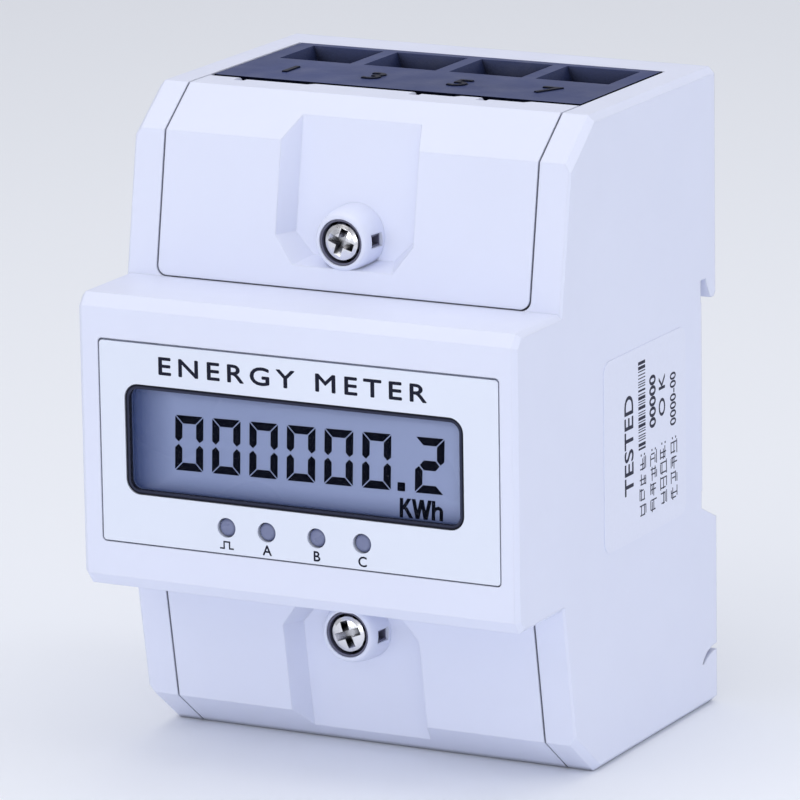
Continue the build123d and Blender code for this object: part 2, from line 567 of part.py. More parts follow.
with BuildPart() as lcd_contact_strips:
    block(-26.0, 25.1, GLASS_Y0 + 1.02, DB_Y0 - 0.02, -7.2, -5.65)
    block(-26.0, 25.1, GLASS_Y0 + 1.92, DB_Y0 - 0.02, 7.5, 9.0)
save(lcd_contact_strips, "lcd_contact_strips")

with BuildPart() as lcd_bezel:
    # frame around the glass, its front flange, and a lining that runs forward to the window
    block(-29.9, 29.0, Y_NOSE + 1.84, DB_Y0 - 0.05, -8.7, 10.7)
    block(-28.2, 27.3, GLASS_Y0 - 0.02, DB_Y0 + 1, -7.5, 9.3, mode=Mode.SUBTRACT)
    plate(WIN[0] + 0.42, WIN[1] - 0.42, WIN[2] + 0.42, WIN[3] - 0.42, Y_NOSE + 0.94, Y_NOSE + 2.0, 1.8)
    plate(WIN[0] + 0.62, WIN[1] - 0.62, WIN[2] + 0.62, WIN[3] - 0.62, Y_NOSE, Y_NOSE + 3, 1.5,
          mode=Mode.SUBTRACT)
save(lcd_bezel, "lcd_bezel")

with BuildPart() as indicator_leds:
    for x in LEDS:
        along_y(x, Z_LED, Y_NOSE + 0.25, -55.5, 1.4)
    fillet(indicator_leds.edges().filter_by(GeomType.CIRCLE).group_by(Axis.Y)[0], 0.5)
    for x in LEDS:
        along_y(x, Z_LED, -55.9, DB_Y0 - 0.02, 1.65)
save(indicator_leds, "indicator_leds")

with BuildPart() as faceplate:
    plate(FP[0], FP[1], FP[2], FP[3], Y_NOSE, Y_NOSE + 0.88, 0.5)
    plate(WIN[0] - 0.1, WIN[1] + 0.1, WIN[2] - 0.1, WIN[3] + 0.1, Y_NOSE - 1, Y_NOSE + 2, 2.3,
          mode=Mode.SUBTRACT)
    for x in LEDS:
        along_y(x, Z_LED, Y_NOSE - 1, Y_NOSE + 2, 1.5, mode=Mode.SUBTRACT)
save(faceplate, "faceplate")

with BuildPart() as display_window:
    plate(WIN[0], WIN[1], WIN[2], WIN[3], Y_NOSE + 0.15, Y_NOSE + 0.88, 2.2)
save(display_window, "display_window")

# ---------------------------------------------------------------------------
# Sealing screws, shown backed out of their threads. Each has a washer under
# its head, and works inside a dark cup that lines the well of the cover.
# ---------------------------------------------------------------------------
HEAD_Y, HEAD_R = -47.45, 3.05


def cross_points(reach, half, turn):
    """Outline of a cross recess, turned about its centre."""
    pts = [(half, half), (half, reach), (-half, reach), (-half, half), (-reach, half), (-reach, -half),
           (-half, -half), (-half, -reach), (half, -reach), (half, -half), (reach, -half), (reach, half)]
    c, n = math.cos(turn), math.sin(turn)
    return [(u * c - v * n, u * n + v * c) for u, v in pts]


for t, side in ((1, "upper"), (-1, "lower")):
    z = t * Z_BOSS
    turn = math.radians(20 * t)
    with BuildPart() as cover_screw:
        # domed head and plain shank
        with BuildSketch(Plane.XY.offset(z)):
            Polygon((0, HEAD_Y), (1.35, HEAD_Y + 0.03), (2.15, HEAD_Y + 0.14), (2.68, HEAD_Y + 0.34),
                    (2.95, HEAD_Y + 0.62), (HEAD_R, HEAD_Y + 1.0), (HEAD_R, -45.2), (1.45, -45.2), (1.45, -27.3),
                    (1.05, -26.9), (0, -26.9), align=None)
        revolve(axis=Axis((0, 0, z), (0, 1, 0)))
        # small notches around the rim
        for k in range(8):
            with BuildSketch(Plane(origin=(0, -48, z), x_dir=(1, 0, 0), z_dir=(0, 1, 0))):
                with PolarLocations(HEAD_R - 0.02, 1, start_angle=22.5 + 45 * k):
                    Rectangle(0.75, 0.7)
            extrude(amount=3, mode=Mode.SUBTRACT)
        # tapered cross drive
        with BuildSketch(Plane(origin=(0, HEAD_Y - 0.1, z), x_dir=(1, 0, 0), z_dir=(0, 1, 0))):
            Polygon(*cross_points(2.3, 0.62, turn), align=None)
        with BuildSketch(Plane(origin=(0, HEAD_Y + 1.4, z), x_dir=(1, 0, 0), z_dir=(0, 1, 0))):
            Polygon(*cross_points(1.0, 0.40, turn), align=None)
        loft(mode=Mode.SUBTRACT)
    save(cover_screw, f"{side}_cover_screw")

    with BuildPart() as screw_washer:
        along_y(0, z, -45.18, -44.6, 3.0, r_in=1.5)
    save(screw_washer, f"{side}_screw_washer")

    with BuildPart() as sealing_cup:
        along_y(0, z, -47.3, WELL_END - 0.02, 3.42)
        # square sleeves that line the seal-wire hole of the boss
        za, zb = sorted((z + t * SEAL_HOLE[2], z + t * SEAL_HOLE[3]))
        block(-4.36, 4.36, SEAL_HOLE[0] + 0.03, SEAL_HOLE[1] - 0.03, za + 0.03, zb - 0.03)
        block(-5, 5, SEAL_HOLE[0] + 0.3, SEAL_HOLE[1] - 0.3, za + 0.3, zb - 0.3, mode=Mode.SUBTRACT)
        along_y(0, z, -48, WELL_END - 0.7, 3.14, mode=Mode.SUBTRACT)
        along_y(0, z, -42, -40, 1.6, mode=Mode.SUBTRACT)
    save(sealing_cup, f"{side}_sealing_cup")

# ---------------------------------------------------------------------------
# Screws of the rear base, and the rating label on the right side
# ---------------------------------------------------------------------------
with BuildPart() as base_screws:
    for x, z in BASE_SCREWS:
        along_y(x, z, 3.02, 4.8, 2.7)
        along_y(x, z, -11.0, 3.1, 1.15)
    for x, z in BASE_SCREWS:
        block(x - 1.7, x + 1.7, 3.8, 6, z - 0.3, z + 0.3, mode=Mode.SUBTRACT)
        block(x - 0.3, x + 0.3, 3.8, 6, z - 1.7, z + 1.7, mode=Mode.SUBTRACT)
save(base_screws, "base_screws")

with BuildPart() as side_label:
    with BuildSketch(Plane.YZ.offset(XH)):
        with Locations((-20.1, -2.5)):
            RectangleRounded(28.2, 29.0, 2.0)
    extrude(amount=0.12)
save(side_label, "side_label")
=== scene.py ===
import bpy
import bmesh
import math
import random
from mathutils import Matrix, Vector


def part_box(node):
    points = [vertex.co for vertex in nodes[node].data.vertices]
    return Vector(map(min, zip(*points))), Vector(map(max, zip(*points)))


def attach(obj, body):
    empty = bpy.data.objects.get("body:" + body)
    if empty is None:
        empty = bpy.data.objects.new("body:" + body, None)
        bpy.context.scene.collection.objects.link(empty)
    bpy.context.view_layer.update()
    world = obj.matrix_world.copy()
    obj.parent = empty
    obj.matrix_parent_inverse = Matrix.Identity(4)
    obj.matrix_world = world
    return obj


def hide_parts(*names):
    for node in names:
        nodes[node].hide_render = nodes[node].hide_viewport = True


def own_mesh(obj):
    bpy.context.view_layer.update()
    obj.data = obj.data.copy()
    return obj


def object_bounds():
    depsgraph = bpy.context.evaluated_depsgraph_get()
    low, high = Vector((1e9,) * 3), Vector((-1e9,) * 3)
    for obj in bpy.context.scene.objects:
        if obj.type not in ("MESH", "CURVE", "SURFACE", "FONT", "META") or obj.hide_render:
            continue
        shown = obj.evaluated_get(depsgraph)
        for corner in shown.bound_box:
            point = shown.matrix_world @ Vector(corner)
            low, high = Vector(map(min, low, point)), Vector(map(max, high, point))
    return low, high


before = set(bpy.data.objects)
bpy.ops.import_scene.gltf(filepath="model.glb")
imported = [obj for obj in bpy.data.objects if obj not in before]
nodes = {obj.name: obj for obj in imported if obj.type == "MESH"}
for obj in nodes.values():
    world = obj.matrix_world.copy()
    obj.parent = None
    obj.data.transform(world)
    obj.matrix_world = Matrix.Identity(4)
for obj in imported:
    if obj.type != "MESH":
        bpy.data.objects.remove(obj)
size0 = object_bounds()
MM = 0.001


# ---------------------------------------------------------------------------
# Node material helpers
# ---------------------------------------------------------------------------
class Mat:
    """A node material being wired up, with short names for the usual nodes."""

    def __init__(self, name):
        self.m = bpy.data.materials.new(name)
        self.m.use_nodes = True
        self.t = self.m.node_tree
        self.t.nodes.clear()
        self.out = self.t.nodes.new("ShaderNodeOutputMaterial")
        self.b = self.t.nodes.new("ShaderNodeBsdfPrincipled")
        self.t.links.new(self.b.outputs[0], self.out.inputs[0])
        self.co = self.t.nodes.new("ShaderNodeTexCoord").outputs["Object"]

    def put(self, socket, value):
        if isinstance(value, bpy.types.NodeSocket):
            self.t.links.new(value, socket)
        elif value is not None:
            if hasattr(socket.default_value, "__len__") and not hasattr(value, "__len__"):
                value = [value] * len(socket.default_value)
            if hasattr(value, "__len__") and len(value) == 3 and len(socket.default_value) == 4:
                value = (*value, 1.0)
            socket.default_value = value

    def math(self, op, a, b=None, c=None, clamp=False):
        n = self.t.nodes.new("ShaderNodeMath")
        n.operation = op
        n.use_clamp = clamp
        for s, v in zip(n.inputs, (a, b, c)):
            self.put(s, v)
        return n.outputs[0]

    def vmath(self, op, a, b=None):
        n = self.t.nodes.new("ShaderNodeVectorMath")
        n.operation = op
        self.put(n.inputs[0], a)
        if b is not None:
            self.put(n.inputs[1], b)
        return n.outputs["Value"] if op in ("LENGTH", "DOT_PRODUCT", "DISTANCE") else n.outputs["Vector"]

    def noise(self, scale, detail=3.0, rough=0.5, co=None, dist=0.0):
        n = self.t.nodes.new("ShaderNodeTexNoise")
        self.put(n.inputs["Vector"], self.co if co is None else co)
        n.inputs["Scale"].default_value = scale
        n.inputs["Detail"].default_value = detail
        n.inputs["Roughness"].default_value = rough
        n.inputs["Distortion"].default_value = dist
        return n.outputs["Fac"]

    def voronoi(self, scale, feature="F1", co=None, out="Distance", rand=1.0):
        n = self.t.nodes.new("ShaderNodeTexVoronoi")
        n.feature = feature
        self.put(n.inputs["Vector"], self.co if co is None else co)
        n.inputs["Scale"].default_value = scale
        n.inputs["Randomness"].default_value = rand
        return n.outputs[out]

    def wave(self, scale, axis="X", kind="BANDS", dist=0.0, detail=2.0, dscale=1.0, co=None):
        n = self.t.nodes.new("ShaderNodeTexWave")
        n.wave_type = kind
        if kind == "BANDS":
            n.bands_direction = axis
        else:
            n.rings_direction = axis
        self.put(n.inputs["Vector"], self.co if co is None else co)
        n.inputs["Scale"].default_value = scale
        n.inputs["Distortion"].default_value = dist
        n.inputs["Detail"].default_value = detail
        n.inputs["Detail Scale"].default_value = dscale
        return n.outputs["Fac"]

    def ramp(self, fac, stops, interp="LINEAR"):
        n = self.t.nodes.new("ShaderNodeValToRGB")
        n.color_ramp.interpolation = interp
        while len(n.color_ramp.elements) < len(stops):
            n.color_ramp.elements.new(0.5)
        for e, (p, c) in zip(n.color_ramp.elements, stops):
            e.position = p
            e.color = (*c, 1.0) if hasattr(c, "__len__") else (c, c, c, 1.0)
        self.put(n.inputs[0], fac)
        return n.outputs[0]

    def span(self, v, a, b, c, d, clamp=True):
        n = self.t.nodes.new("ShaderNodeMapRange")
        n.clamp = clamp
        for s, x in zip(n.inputs, (v, a, b, c, d)):
            self.put(s, x)
        return n.outputs[0]

    def mix(self, fac, a, b):
        n = self.t.nodes.new("ShaderNodeMix")
        n.data_type = "RGBA"
        self.put(n.inputs[0], fac)
        self.put(n.inputs[6], a)
        self.put(n.inputs[7], b)
        return n.outputs[2]

    def bump(self, height, strength, distance, normal=None):
        n = self.t.nodes.new("ShaderNodeBump")
        n.inputs["Strength"].default_value = strength
        n.inputs["Distance"].default_value = distance
        self.put(n.inputs["Height"], height)
        if normal is not None:
            self.put(n.inputs["Normal"], normal)
        return n.outputs[0]

    def scaled(self, sx, sy, sz, rot=(0, 0, 0), loc=(0, 0, 0)):
        n = self.t.nodes.new("ShaderNodeMapping")
        self.put(n.inputs["Vector"], self.co)
        n.inputs["Scale"].default_value = (sx, sy, sz)
        n.inputs["Rotation"].default_value = rot
        n.inputs["Location"].default_value = loc
        return n.outputs[0]

    def edge(self, radius):
        """Mask of edges, from how far a rounded normal leaves the face's own."""
        n = self.t.nodes.new("ShaderNodeBevel")
        n.samples = 4
        n.inputs["Radius"].default_value = radius
        g = self.t.nodes.new("ShaderNodeNewGeometry")
        d = self.vmath("DOT_PRODUCT", n.outputs[0], g.outputs["Normal"])
        return self.math("SUBTRACT", 1.0, d, clamp=True)

    def eased(self, radius):
        """Normal that rolls over sharp corners, like the small radius of a moulded edge."""
        n = self.t.nodes.new("ShaderNodeBevel")
        n.samples = 4
        n.inputs["Radius"].default_value = radius
        return n.outputs[0]

    def open_air(self, dist, lo, hi, floor):
        """1 on open faces, falling to floor deep inside holes and gaps narrower than dist."""
        n = self.t.nodes.new("ShaderNodeAmbientOcclusion")
        n.samples = 8
        n.inputs["Distance"].default_value = dist
        return self.span(n.outputs["AO"], lo, hi, floor, 1.0)

    def xyz(self, co=None):
        n = self.t.nodes.new("ShaderNodeSeparateXYZ")
        self.put(n.inputs[0], self.co if co is None else co)
        return n.outputs[0], n.outputs[1], n.outputs[2]

    def set(self, **kw):
        for k, v in kw.items():
            self.put(self.b.inputs[k.replace("_", " ")], v)
        return self


def shade(c, f):
    return tuple(min(1.0, x * f) for x in c)


def moulded(name, colour, rough=0.42, grain=2600.0, depth=0.00003, strength=0.30, vary=0.03, spec=0.45, sss=0.0,
            edge_wear_highlight=0.0, dust=0.0, ease=0.0, painted_cavity_shade=None):
    """Injection-moulded plastic: eroded fine grain, slow colour drift, edges lightened partly by soft wear and partly
    as painted highlight, painted shade in holes and gaps.
    """
    k = Mat(name)
    drift = k.noise(38.0, 4.0, 0.6)
    fine = k.noise(900.0, 2.0, 0.5)
    c = k.mix(k.span(drift, 0.35, 0.65, 0.0, 1.0), shade(colour, 1.0 - vary), shade(colour, 1.0 + vary * 0.6))
    c = k.mix(k.span(fine, 0.3, 0.7, 0.0, 0.5 * vary * 4), c, shade(colour, 0.94))
    # lighter edges: partly wear, partly painted highlight along the rounded edges
    if edge_wear_highlight:
        worn = k.span(k.edge(0.00035), 0.01, 0.22, 0.0, edge_wear_highlight)
        worn = k.math("MULTIPLY", worn, k.span(k.noise(260.0, 3.0), 0.35, 0.7, 0.4, 1.0))
        c = k.mix(worn, c, shade(colour, 1.18))
    if dust:
        c = k.mix(k.math("MULTIPLY", k.span(k.noise(120.0, 6.0, 0.65), 0.55, 0.75, 0.0, 1.0), dust), c,
                  (0.62, 0.62, 0.64))
    # painted shade: colour darkened where ambient occlusion finds holes, gaps and recesses
    if painted_cavity_shade:
        free = k.open_air(*painted_cavity_shade)
        c = k.mix(free, shade(colour, 0.02), c)
    cell = k.voronoi(grain)
    pit = k.math("MULTIPLY_ADD", cell, 0.6, k.math("MULTIPLY", k.noise(grain * 0.8, 3.0, 0.6), 0.7))
    k.set(Base_Color=c, Normal=k.bump(pit, strength, depth, k.eased(ease) if ease else None))
    k.set(Roughness=k.span(k.noise(180.0, 3.0), 0.3, 0.7, rough - 0.05, rough + 0.07))
    # painted shade: specular dimmed in the same holes and gaps
    k.put(k.b.inputs["Specular IOR Level"], k.math("MULTIPLY", free, spec) if painted_cavity_shade else spec)
    if sss:
        k.b.inputs["Subsurface Weight"].default_value = sss
        k.b.inputs["Subsurface Radius"].default_value = (0.0012, 0.0012, 0.0014)
        k.b.inputs["Subsurface Scale"].default_value = 1.0
    return k.m


def metal(name, colour, rough=0.25, axis="Y", brush=900.0, amount=0.25, tarnish=None, vary=0.10, painted_cavity_shade=None):
    """Plated or machined metal with fine tool marks and slow tarnish."""
    k = Mat(name)
    s = {"X": (0.04, 1, 1), "Y": (1, 0.04, 1), "Z": (1, 1, 0.04), "N": (1, 1, 1)}[axis]
    lines = k.noise(brush, 4.0, 0.65, co=k.scaled(*s))
    spots = k.noise(150.0, 5.0, 0.65)
    c = k.mix(k.span(spots, 0.3, 0.7, 0.0, 1.0), shade(colour, 1 - vary), shade(colour, 1 + vary * 0.5))
    if tarnish:
        c = k.mix(k.span(k.noise(420.0, 6.0, 0.7), 0.52, 0.72, 0.0, 0.55), c, tarnish)
    # painted shade: colour darkened where ambient occlusion finds holes and recesses, such as a screw's cross
    if painted_cavity_shade:
        c = k.mix(k.open_air(*painted_cavity_shade), shade(colour, 0.03), c)
    k.set(Base_Color=c, Metallic=1.0, Normal=k.bump(lines, amount, 0.00002),
          Roughness=k.span(k.noise(320.0, 4.0), 0.3, 0.7, rough * 0.75, rough * 1.35))
    return k.m


# ---------------------------------------------------------------------------
# Materials
# ---------------------------------------------------------------------------
WHITE = (0.731, 0.763, 0.916)
M = {}
M["housing"] = moulded("housing_plastic_grain", WHITE, rough=0.46, grain=2300.0, strength=0.22, depth=0.00002,
                       vary=0.012, sss=0.04, edge_wear_highlight=0.35, ease=0.00028, painted_cavity_shade=(0.0015, 0.12, 0.42, 0.48))
M["cover"] = moulded("cover_plastic_grain", WHITE, rough=0.45, grain=2300.0, strength=0.20, depth=0.00002,
                     vary=0.012, sss=0.04, edge_wear_highlight=0.35, ease=0.00028, painted_cavity_shade=(0.0015, 0.12, 0.42, 0.48))
M["base"] = moulded("base_plastic_grain", shade(WHITE, 0.97), rough=0.50, grain=2000.0, strength=0.28, vary=0.02,
                    edge_wear_highlight=0.25, dust=0.10)
M["block"] = moulded("terminal_plastic_grain", (0.033, 0.051, 0.168), rough=0.42, grain=2100.0, strength=0.5,
                     depth=0.00004, vary=0.16, edge_wear_highlight=0.5, spec=0.40, dust=0.05, ease=0.00012,
                     painted_cavity_shade=(0.026, 0.60, 0.97, 0.02))
M["latch"] = moulded("latch_plastic_grain", (0.040, 0.043, 0.060), rough=0.42, grain=2000.0, strength=0.35, vary=0.10,
                     edge_wear_highlight=0.5)
M["black_comp"] = moulded("black_moulding", (0.018, 0.018, 0.022), rough=0.50, grain=4200.0, strength=0.5, vary=0.15)
# the bezel is black; its colour is lifted to blue-grey as painted light on the inner walls that stand in the window's
# shade
M["bezel"] = moulded("bezel_painted_light_blue", (0.130, 0.175, 0.360), rough=0.50, grain=4200.0, strength=0.4, vary=0.12)
M["ct_case"] = moulded("transformer_case_blue", (0.035, 0.085, 0.30), rough=0.35, grain=1800.0, strength=0.25,
                       vary=0.08, edge_wear_highlight=0.3)


def faceplate_material():
    """Screen-printed satin plate, a touch whiter and smoother than the housing."""
    k = Mat("faceplate_satin")
    c = (0.740, 0.785, 0.908)
    drift = k.noise(30.0, 3.0)
    col = k.mix(k.span(drift, 0.35, 0.65, 0.0, 1.0), shade(c, 0.985), shade(c, 1.012))
    grain = k.noise(5200.0, 2.0, 0.6)
    k.set(Base_Color=col, Roughness=k.span(k.noise(140.0, 3.0), 0.3, 0.7, 0.30, 0.38),
          Normal=k.bump(grain, 0.10, 0.00001))
    return k.m


M["faceplate"] = faceplate_material()


def rounded_mask(k, x0, x1, z0, z1, r, soft=0.00006):
    """1 inside a rounded rectangle in the XZ plane, 0 outside."""
    x, _, z = k.xyz()
    dx = k.math("SUBTRACT", k.math("ABSOLUTE", k.math("SUBTRACT", x, (x0 + x1) / 2)), (x1 - x0) / 2 - r)
    dz = k.math("SUBTRACT", k.math("ABSOLUTE", k.math("SUBTRACT", z, (z0 + z1) / 2)), (z1 - z0) / 2 - r)
    ox, oz = k.math("MAXIMUM", dx, 0.0), k.math("MAXIMUM", dz, 0.0)
    out = k.math("SQRT", k.math("ADD", k.math("MULTIPLY", ox, ox), k.math("MULTIPLY", oz, oz)))
    inner = k.math("MINIMUM", k.math("MAXIMUM", dx, dz), 0.0)
    d = k.math("SUBTRACT", k.math("ADD", out, inner), r)
    return k.span(d, -soft, soft, 1.0, 0.0), d


WLO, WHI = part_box("display_window")
BORDER = 0.62 * MM


def window_material():
    """Clear window with a black printed border."""
    k = Mat("window_clear_border")
    mask, _ = rounded_mask(k, WLO.x + BORDER, WHI.x - BORDER, WLO.z + BORDER, WHI.z - BORDER, 1.55 * MM)
    ink = k.noise(700.0, 3.0)
    line, _ = rounded_mask(k, WLO.x + 0.26 * MM, WHI.x - 0.26 * MM, WLO.z + 0.26 * MM, WHI.z - 0.26 * MM, 1.9 * MM)
    band = k.mix(ink, (0.024, 0.027, 0.052), (0.034, 0.038, 0.070))
    k.set(Base_Color=k.mix(line, (0.006, 0.007, 0.016), band), Roughness=0.30)
    k.b.inputs["Specular IOR Level"].default_value = 0.12
    clear = k.t.nodes.new("ShaderNodeBsdfTransparent")
    clear.inputs[0].default_value = (0.965, 0.975, 0.99, 1)
    gloss = k.t.nodes.new("ShaderNodeBsdfGlossy")
    gloss.inputs["Roughness"].default_value = 0.05
    fres = k.t.nodes.new("ShaderNodeFresnel")
    fres.inputs[0].default_value = 1.46
    see = k.t.nodes.new("ShaderNodeMixShader")
    k.put(see.inputs[0], k.math("MULTIPLY", fres.outputs[0], 0.05))
    k.t.links.new(clear.outputs[0], see.inputs[1])
    k.t.links.new(gloss.outputs[0], see.inputs[2])
    both = k.t.nodes.new("ShaderNodeMixShader")
    k.put(both.inputs[0], mask)
    k.t.links.new(k.b.outputs[0], both.inputs[1])
    k.t.links.new(see.outputs[0], both.inputs[2])
    k.t.links.new(both.outputs[0], k.out.inputs[0])
    return k.m


M["window"] = window_material()


def lcd_material():
    """Grey-blue liquid-crystal cell with painted shade from its bezel: darker towards its left and bottom edges, a
    little at the top and right, with faint unlit segments' haze.
    """
    k = Mat("lcd_cell")
    x, _, z = k.xyz()
    # painted shade of the bezel, by distance from the left and bottom edges of the visible area
    left = k.span(x, -26.4 * MM, -20.3 * MM, 1.0, 0.0)
    low = k.span(z, -6.8 * MM, -3.7 * MM, 1.0, 0.0)
    top = k.span(z, 8.6 * MM, 7.4 * MM, 0.35, 0.0)
    right = k.span(x, 27.0 * MM, 26.2 * MM, 0.20, 0.0)
    dark = k.math("MAXIMUM", k.math("POWER", left, 1.2), k.math("MULTIPLY", k.math("POWER", low, 1.4), 0.75))
    dark = k.math("MAXIMUM", dark, k.math("MAXIMUM", top, right))
    # a weak veil of reflected light, brightest towards the upper right
    veil = k.span(k.math("ADD", z, k.math("MULTIPLY", x, 0.55)), -12 * MM, 22 * MM, 0.0, 0.60)
    base = k.mix(k.noise(70.0, 2.0), (0.262, 0.306, 0.480), (0.266, 0.310, 0.486))
    base = k.mix(veil, base, (0.372, 0.412, 0.590))
    col = k.mix(dark, base, (0.050, 0.074, 0.190))
    haze = k.noise(2600.0, 2.0)
    col = k.mix(k.span(haze, 0.35, 0.65, 0.0, 0.04), col, (0.38, 0.42, 0.60))
    k.set(Base_Color=col, Roughness=k.span(k.noise(30.0, 1.0), 0.3, 0.7, 0.27, 0.29),
          Normal=k.bump(haze, 0.02, 0.00001))
    k.b.inputs["Specular IOR Level"].default_value = 0.25
    return k.m


M["lcd"] = lcd_material()


def segment_material():
    """Switched-on liquid-crystal segment: near black, with a faint blue cast."""
    k = Mat("lcd_segment_black")
    c = k.mix(k.noise(900.0, 2.0), (0.0025, 0.003, 0.007), (0.005, 0.006, 0.012))
    k.set(Base_Color=c, Roughness=k.span(k.noise(500.0), 0.3, 0.7, 0.30, 0.42))
    k.b.inputs["Specular IOR Level"].default_value = 0.0
    return k.m


M["segment"] = segment_material()


def ink_material(name, colour):
    """Screen-printed ink, slightly uneven in density."""
    k = Mat(name)
    c = k.mix(k.span(k.noise(1600.0, 4.0, 0.7), 0.3, 0.75, 0.0, 1.0), colour, tuple(x * 1.8 + 0.004 for x in colour))
    k.set(Base_Color=c, Roughness=k.span(k.noise(700.0), 0.3, 0.7, 0.38, 0.5),
          Normal=k.bump(k.noise(3800.0, 2.0), 0.12, 0.000008))
    k.b.inputs["Specular IOR Level"].default_value = 0.10
    return k.m


M["ink"] = ink_material("printed_ink", (0.006, 0.007, 0.018))
M["label_ink"] = ink_material("label_print", (0.016, 0.017, 0.036))


def led_material():
    """Grey diffused lamp lens with a darker core."""
    k = Mat("lamp_lens_grey")
    x, _, z = k.xyz()
    core = None
    for c in (-11.65, -4.98, 3.26, 10.75):
        dx, dz = k.math("SUBTRACT", x, c * MM), k.math("SUBTRACT", z, -11.0 * MM)
        d = k.math("SQRT", k.math("ADD", k.math("MULTIPLY", dx, dx), k.math("MULTIPLY", dz, dz)))
        core = d if core is None else k.math("MINIMUM", core, d)
    rim = k.span(core, 0.85 * MM, 1.35 * MM, 0.0, 1.0)
    c = k.mix(rim, (0.170, 0.192, 0.330), (0.080, 0.094, 0.182))
    c = k.mix(k.span(k.noise(1100.0, 3.0), 0.35, 0.7, 0.0, 0.2), c, (0.25, 0.28, 0.42))
    k.set(Base_Color=c, Roughness=k.span(k.noise(600.0), 0.3, 0.7, 0.24, 0.36))
    k.b.inputs["Subsurface Weight"].default_value = 0.15
    k.b.inputs["Subsurface Radius"].default_value = (0.0008, 0.0008, 0.001)
    return k.m


M["led"] = led_material()


def label_material():
    """Coated label stock, faintly warmer and smoother than the housing."""
    k = Mat("label_stock")
    c = (0.738, 0.768, 0.915)
    fib = k.noise(1500.0, 5.0, 0.7)
    col = k.mix(k.span(fib, 0.3, 0.7, 0.0, 1.0), shade(c, 0.985), shade(c, 1.015))
    k.set(Base_Color=col, Roughness=k.span(k.noise(200.0), 0.3, 0.7, 0.30, 0.38),
          Normal=k.bump(fib, 0.08, 0.00001))
    return k.m


M["label"] = label_material()
M["nickel"] = metal("bright_nickel_plate", (0.80, 0.80, 0.83), rough=0.15, axis="N", brush=520.0, amount=0.9,
                    tarnish=(0.33, 0.33, 0.36), vary=0.14, painted_cavity_shade=(0.0016, 0.35, 0.85, 0.12))
M["zinc"] = metal("zinc_plate", (0.66, 0.67, 0.66), rough=0.34, axis="N", brush=1200.0, amount=0.4,
                  tarnish=(0.36, 0.37, 0.37), painted_cavity_shade=(0.006, 0.10, 0.60, 0.30))
M["clamp"] = metal("zinc_strip", (0.60, 0.60, 0.56), rough=0.36, axis="Z", brush=1400.0, amount=0.5,
                   tarnish=(0.34, 0.33, 0.29), painted_cavity_shade=(0.008, 0.20, 0.85, 0.06))
M["spring"] = metal("spring_wire", (0.55, 0.56, 0.58), rough=0.28, axis="N", brush=1800.0, amount=0.3)
M["brass"] = metal("turned_brass", (0.78, 0.58, 0.24), rough=0.24, axis="Y", brush=1600.0, amount=0.35,
                   tarnish=(0.50, 0.36, 0.14))
M["copper"] = metal("copper_strip", (0.80, 0.42, 0.26), rough=0.32, axis="Z", brush=1500.0, amount=0.4,
                    tarnish=(0.42, 0.22, 0.15))
M["can"] = metal("pressed_can", (0.72, 0.72, 0.72), rough=0.22, axis="Z", brush=1500.0, amount=0.2)


def washer_material():
    k = Mat("captive_washer_rubber")
    c = k.mix(k.noise(500.0, 4.0), (0.020, 0.021, 0.028), (0.040, 0.041, 0.052))
    k.set(Base_Color=c, Roughness=0.6, Normal=k.bump(k.noise(2500.0, 3.0), 0.4, 0.00003))
    return k.m


M["washer"] = washer_material()
M["cup"] = moulded("sealing_cup_grey", (0.105, 0.105, 0.165), rough=0.36, grain=3000.0, strength=0.3, vary=0.15,
                   edge_wear_highlight=0.3)


def board_material():
    """Green solder mask over copper tracks, with tinned pads."""
    k = Mat("solder_mask_board")
    grid = k.scaled(1, 1, 1, loc=(0.0003, 0, 0.0002))
    tracks = k.wave(210.0, "X", dist=2.2, detail=1.0, dscale=2.0, co=grid)
    t2 = k.wave(180.0, "Z", dist=2.6, detail=1.0, dscale=1.6, co=grid)
    lines = k.math("MAXIMUM", k.span(tracks, 0.80, 0.86, 0.0, 1.0), k.span(t2, 0.82, 0.88, 0.0, 1.0))
    pads = k.span(k.voronoi(420.0, rand=0.35), 0.16, 0.20, 1.0, 0.0)
    c = k.mix(lines, (0.006, 0.060, 0.022), (0.012, 0.125, 0.050))
    c = k.mix(pads, c, (0.62, 0.60, 0.52))
    k.set(Base_Color=c, Metallic=k.math("MULTIPLY", pads, 0.9), Roughness=k.span(k.noise(300.0), 0.3, 0.7, 0.22, 0.34),
          Normal=k.bump(k.math("ADD", lines, pads), 0.5, 0.00004))
    return k.m


M["board"] = board_material()


def sleeve_material():
    """Dark shrink sleeve with a pale polarity stripe and a bare metal top."""
    k = Mat("capacitor_sleeve")
    x, y, z = k.xyz()
    stripe = k.span(x, 9.4 * MM, 9.7 * MM, 1.0, 0.0)
    stripe = k.math("MAXIMUM", stripe, k.math("MULTIPLY", k.span(x, 20.1 * MM, 20.2 * MM, 0.0, 1.0),
                                              k.span(x, 20.9 * MM, 21.2 * MM, 1.0, 0.0)))
    c = k.mix(stripe, (0.012, 0.016, 0.045), (0.55, 0.58, 0.62))
    c = k.mix(k.span(k.noise(800.0, 3.0), 0.3, 0.7, 0.0, 0.10), c, (0.05, 0.06, 0.10))
    top = k.span(y, -44.8 * MM, -44.6 * MM, 1.0, 0.0)
    k.set(Base_Color=k.mix(top, c, (0.72, 0.72, 0.74)), Metallic=top, Roughness=0.28,
          Normal=k.bump(k.noise(260.0, 2.0), 0.15, 0.0001))
    return k.m


M["sleeve"] = sleeve_material()


